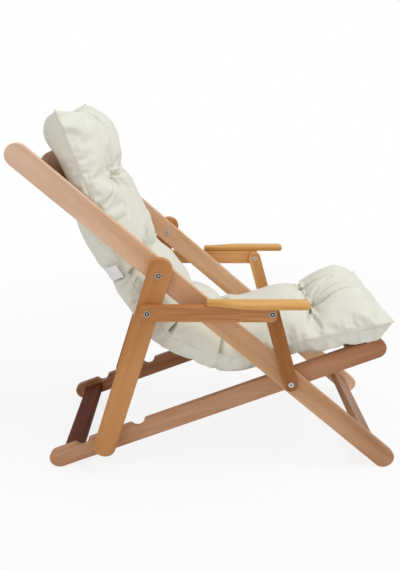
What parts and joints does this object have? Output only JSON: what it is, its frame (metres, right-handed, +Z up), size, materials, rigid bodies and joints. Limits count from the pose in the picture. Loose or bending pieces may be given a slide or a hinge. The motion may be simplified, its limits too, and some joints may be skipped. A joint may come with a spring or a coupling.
{
  "type": "steamer deck chair",
  "caption": "Folding wooden reclining chair on crossed flat rails, with a notched prop-leg recline, paddle armrests on linked posts and a long tufted cushion slung between the rails.",
  "frame": {"origin": "on the floor, under the middle of the bounding box", "axes": "+X to the front of the seat, +Y to the sitter's left, +Z up"},
  "size_m": [1.0254, 0.618, 1.0112],
  "materials": {
    "frame_wood": "oiled hardwood, satin",
    "leg_wood": "oiled hardwood, satin",
    "armrest_wood": "oiled hardwood, satin",
    "steel": "stainless, brushed",
    "cushion_fabric": "matt woven canvas"
  },
  "bodies": {
    "seat_frame": {"seat_rail_left": "frame_wood", "seat_rail_right": "frame_wood", "rear_stretcher": "frame_wood", "seat_front_bar": "frame_wood", "cushion_seat": "cushion_fabric"},
    "back_frame": {"back_rail_left": "frame_wood", "back_rail_right": "frame_wood", "head_bar": "frame_wood", "foot_stretcher": "frame_wood", "cushion_back": "cushion_fabric", "main_bolt_left": "steel", "main_bolt_right": "steel", "main_nut_left": "steel", "main_nut_right": "steel", "leg_bolt_left": "steel", "leg_bolt_right": "steel", "leg_nut_left": "steel", "leg_nut_right": "steel", "main_washer_outer_left": "steel", "main_washer_outer_right": "steel", "main_washer_inner_left": "steel", "main_washer_inner_right": "steel", "leg_washer_left": "steel", "leg_washer_right": "steel"},
    "prop_legs": {"prop_leg_left": "leg_wood", "prop_leg_right": "leg_wood", "prop_bar": "leg_wood", "arm_rear_bolt_left": "steel", "arm_rear_bolt_right": "steel", "arm_rear_nut_left": "steel", "arm_rear_nut_right": "steel", "arm_rear_washer_left": "steel", "arm_rear_washer_right": "steel"},
    "arm_post_assembly_left": {"arm_post_left": "armrest_wood", "arm_front_nut_left": "steel"},
    "arm_assembly_left": {"arm_rail_left": "leg_wood", "armrest_left": "armrest_wood", "armrest_screw_left_rear": "steel", "armrest_screw_left_front": "steel", "arm_front_bolt_left": "steel", "arm_front_washer_left": "steel"},
    "arm_post_assembly_right": {"arm_post_right": "armrest_wood", "arm_front_nut_right": "steel"},
    "arm_assembly_right": {"arm_rail_right": "leg_wood", "armrest_right": "armrest_wood", "armrest_screw_right_rear": "steel", "armrest_screw_right_front": "steel", "arm_front_bolt_right": "steel", "arm_front_washer_right": "steel"}
  },
  "joints": [
    {"name": "back_lift", "type": "hinge", "parent": "seat_frame", "child": "back_frame", "pos_m": [0.20383, 0, 0.28157], "axis": [0, 1, 0], "range_deg": [0, 12]},
    {"name": "prop_swing", "type": "hinge", "parent": "back_frame", "child": "prop_legs", "pos_m": [-0.14539, 0, 0.59657], "axis": [0, 1, 0], "range_deg": [0, 60]},
    {"name": "arm_post_fold_left", "type": "hinge", "parent": "back_frame", "child": "arm_post_assembly_left", "pos_m": [0.20383, 0, 0.28157], "axis": [0, 1, 0], "range_deg": [-29.4, 0]},
    {"name": "arm_fold_left", "type": "hinge", "parent": "prop_legs", "child": "arm_assembly_left", "pos_m": [-0.17732, 0, 0.50148], "axis": [0, 1, 0], "range_deg": [-36.7, 0]},
    {"name": "arm_post_fold_right", "type": "hinge", "parent": "back_frame", "child": "arm_post_assembly_right", "pos_m": [0.20383, 0, 0.28157], "axis": [0, 1, 0], "range_deg": [-29.4, 0]},
    {"name": "arm_fold_right", "type": "hinge", "parent": "prop_legs", "child": "arm_assembly_right", "pos_m": [-0.17732, 0, 0.50148], "axis": [0, 1, 0], "range_deg": [-36.7, 0]}
  ],
  "couplings": [
    {"joint": "arm_post_fold_left", "follows": "prop_swing", "ratio": -0.48129},
    {"joint": "arm_fold_left", "follows": "prop_swing", "ratio": -0.60363},
    {"joint": "arm_post_fold_right", "follows": "prop_swing", "ratio": -0.48129},
    {"joint": "arm_fold_right", "follows": "prop_swing", "ratio": -0.60363}
  ]
}
